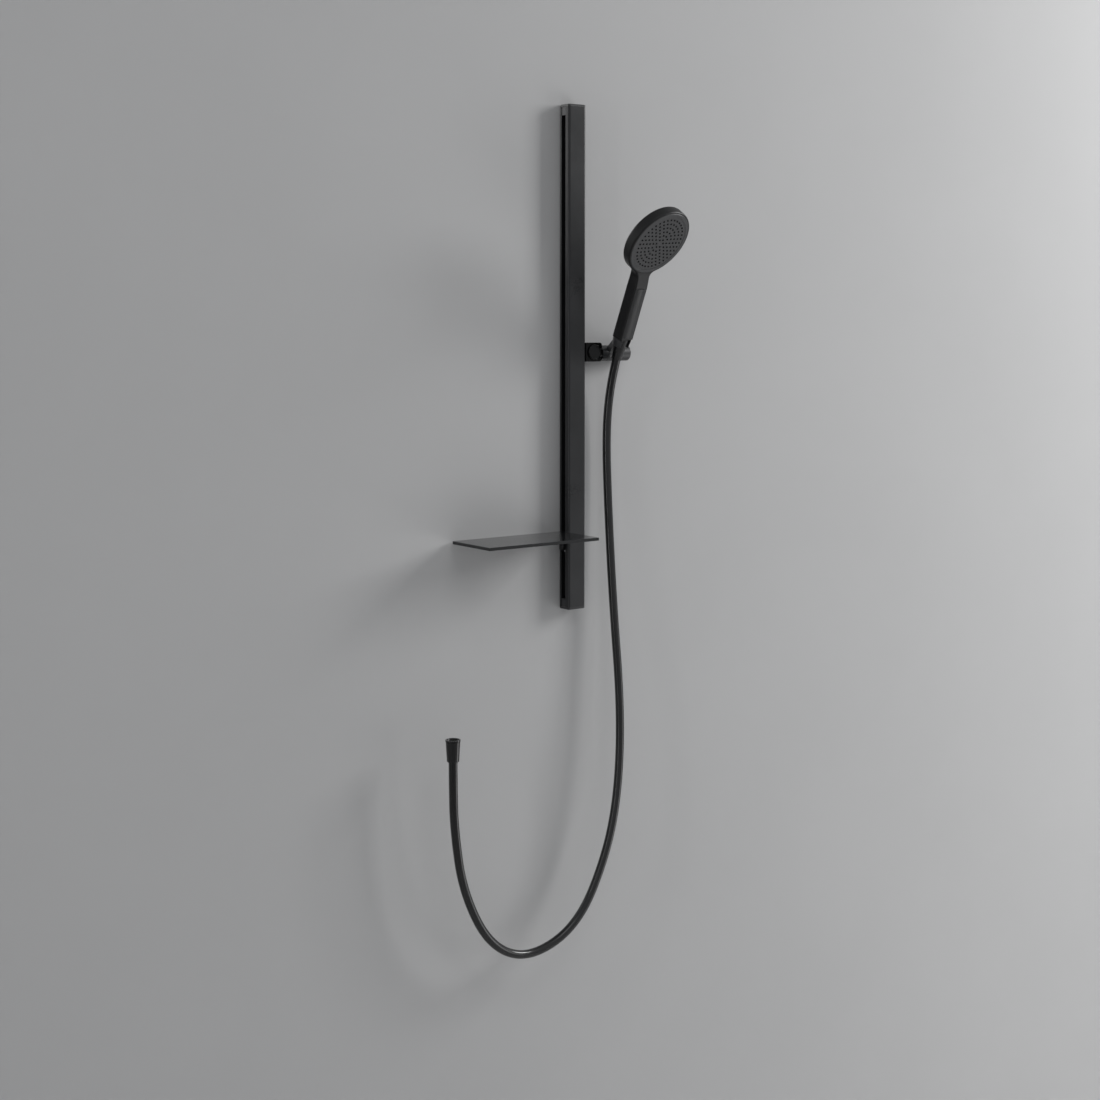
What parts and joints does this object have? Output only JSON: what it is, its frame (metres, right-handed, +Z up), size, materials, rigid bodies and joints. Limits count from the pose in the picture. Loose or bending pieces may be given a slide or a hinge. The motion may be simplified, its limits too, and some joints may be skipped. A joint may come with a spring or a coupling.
{
  "type": "shower slide rail",
  "caption": "Flat black wall rail with side grooves, a push-button slider with a tilting holder, a round hand shower on its hose, and a clamp-on shelf.",
  "frame": {"origin": "on the wall plane, midway between the two wall screw holes in the rail's brackets", "axes": "+X right along the wall, +Y into the wall, +Z up along the rail"},
  "size_m": [0.4304, 0.187, 1.4296],
  "materials": {
    "rail_coat": "satin black coat on extruded aluminium",
    "cap_plastic": "matt dark grey moulded plastic",
    "bracket_zinc": "plain die cast metal",
    "screw_steel": "plain stainless steel",
    "runner_plastic": "slippery moulded plastic",
    "pad_rubber": "soft black rubber",
    "slider_gloss": "half gloss black plastic",
    "button_gloss": "gloss black plastic",
    "holder_coat": "satin black plastic",
    "nut_black": "brass with a satin black coat",
    "brass_fitting": "plain turned brass",
    "hose_sheath": "smooth satin black plastic sheath",
    "handset_coat": "satin black coat on plastic",
    "face_plastic": "satin black plastic",
    "nozzle_rubber": "satin black silicone with soft nozzles",
    "shelf_coat": "half gloss black coat on flat aluminium",
    "bracket_black": "black coated metal"
  },
  "bodies": {
    "rail": {"rail_profile": "rail_coat", "top_end_cap": "cap_plastic", "bottom_end_cap": "cap_plastic", "upper_wall_bracket": "bracket_zinc", "lower_wall_bracket": "bracket_zinc", "grub_screws": "screw_steel"},
    "slider": {"runner_shoe": "runner_plastic", "brake_pad": "pad_rubber", "shoe_screws": "screw_steel", "slider_housing": "slider_gloss", "return_sleeve": "pad_rubber", "pivot_bolt": "screw_steel", "friction_washer": "runner_plastic", "wave_washer": "screw_steel", "hose": "hose_sheath", "lower_hose_stem": "brass_fitting", "lower_ferrule": "nut_black"},
    "button": {"release_button": "button_gloss"},
    "holder": {"holder": "holder_coat", "holder_end_cap": "holder_coat", "upper_cone_nut": "nut_black", "upper_hose_stem": "brass_fitting", "upper_seal": "pad_rubber", "inlet_nipple": "brass_fitting", "flow_limiter": "runner_plastic", "handset_shell": "handset_coat", "handle_front_cover": "handset_coat", "distributor_plate": "runner_plastic", "face_ring": "face_plastic", "nozzle_mat": "nozzle_rubber", "water_tube": "runner_plastic"},
    "hose_nut": {"lower_cone_nut": "nut_black", "lower_seal": "pad_rubber"},
    "shelf": {"shelf_plate": "shelf_coat", "shelf_bracket": "bracket_black", "shelf_clamp_pad": "pad_rubber", "shelf_clamp_screw": "screw_steel", "shelf_plate_screws": "screw_steel"}
  },
  "joints": [
    {"name": "slider_slide", "type": "slide", "parent": "rail", "child": "slider", "axis": [0, 0, 1], "range_m": [-0.395, 0.37]},
    {"name": "button_press", "type": "slide", "parent": "slider", "child": "button", "axis": [0, 1, 0], "range_m": [0, 0.0025], "stiffness_N_per_m": 1500, "deforming": ["return_sleeve"]},
    {"name": "holder_tilt", "type": "hinge", "parent": "slider", "child": "holder", "pos_m": [0.07, -0.015, 0.0105], "axis": [1, 0, 0], "range_deg": [-20, 30], "deforming": ["hose"]},
    {"name": "hose_nut_spin", "type": "hinge", "parent": "slider", "child": "hose_nut", "pos_m": [-0.282, -0.065, -0.6225], "axis": [0, 0, 1], "continuous": true},
    {"name": "shelf_slide", "type": "slide", "parent": "rail", "child": "shelf", "axis": [0, 0, 1], "range_m": [-0.078, 0.7]}
  ]
}
